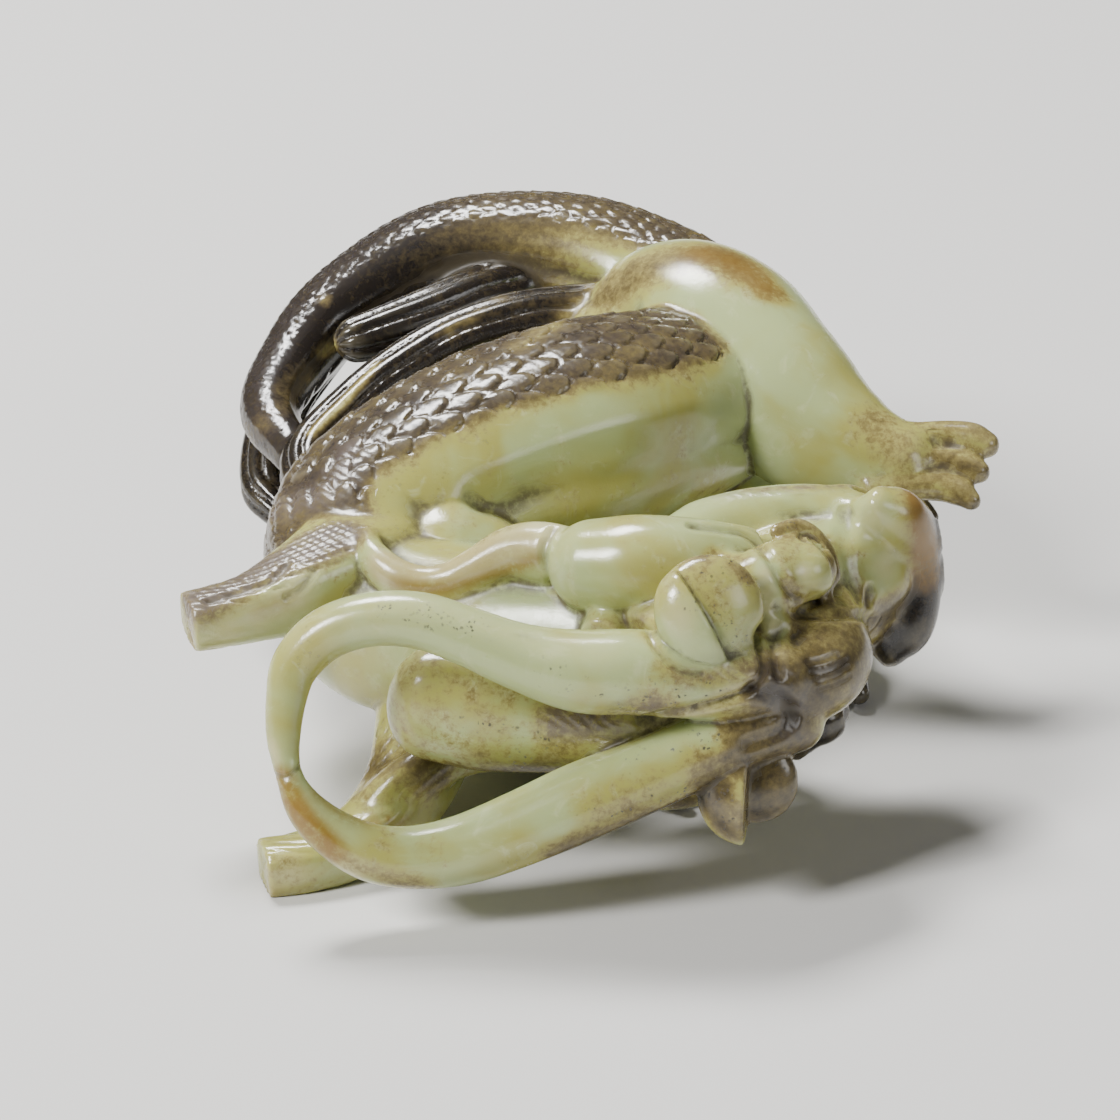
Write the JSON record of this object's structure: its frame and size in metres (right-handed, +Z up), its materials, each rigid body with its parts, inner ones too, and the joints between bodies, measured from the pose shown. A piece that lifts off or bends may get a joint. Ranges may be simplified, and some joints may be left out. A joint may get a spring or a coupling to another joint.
{
  "type": "jade dragon carving",
  "caption": "Hand-sized dragon carved in the round from a jade pebble, lying on its side with joined horns, a scaled back and an openwork tail.",
  "frame": {"origin": "on the ground, under the middle of the carving's bounding box", "axes": "+Z up, with the carving lying on its ground flats; +Y from the horns to the tail; +X from the shoulder tufts to the snout and the hind claws"},
  "size_m": [0.0638, 0.0756, 0.0306],
  "materials": {
    "jade": "polished yellow-green nephrite with brown skin"
  },
  "bodies": {
    "root": {"dragon": "jade"}
  },
  "joints": []
}
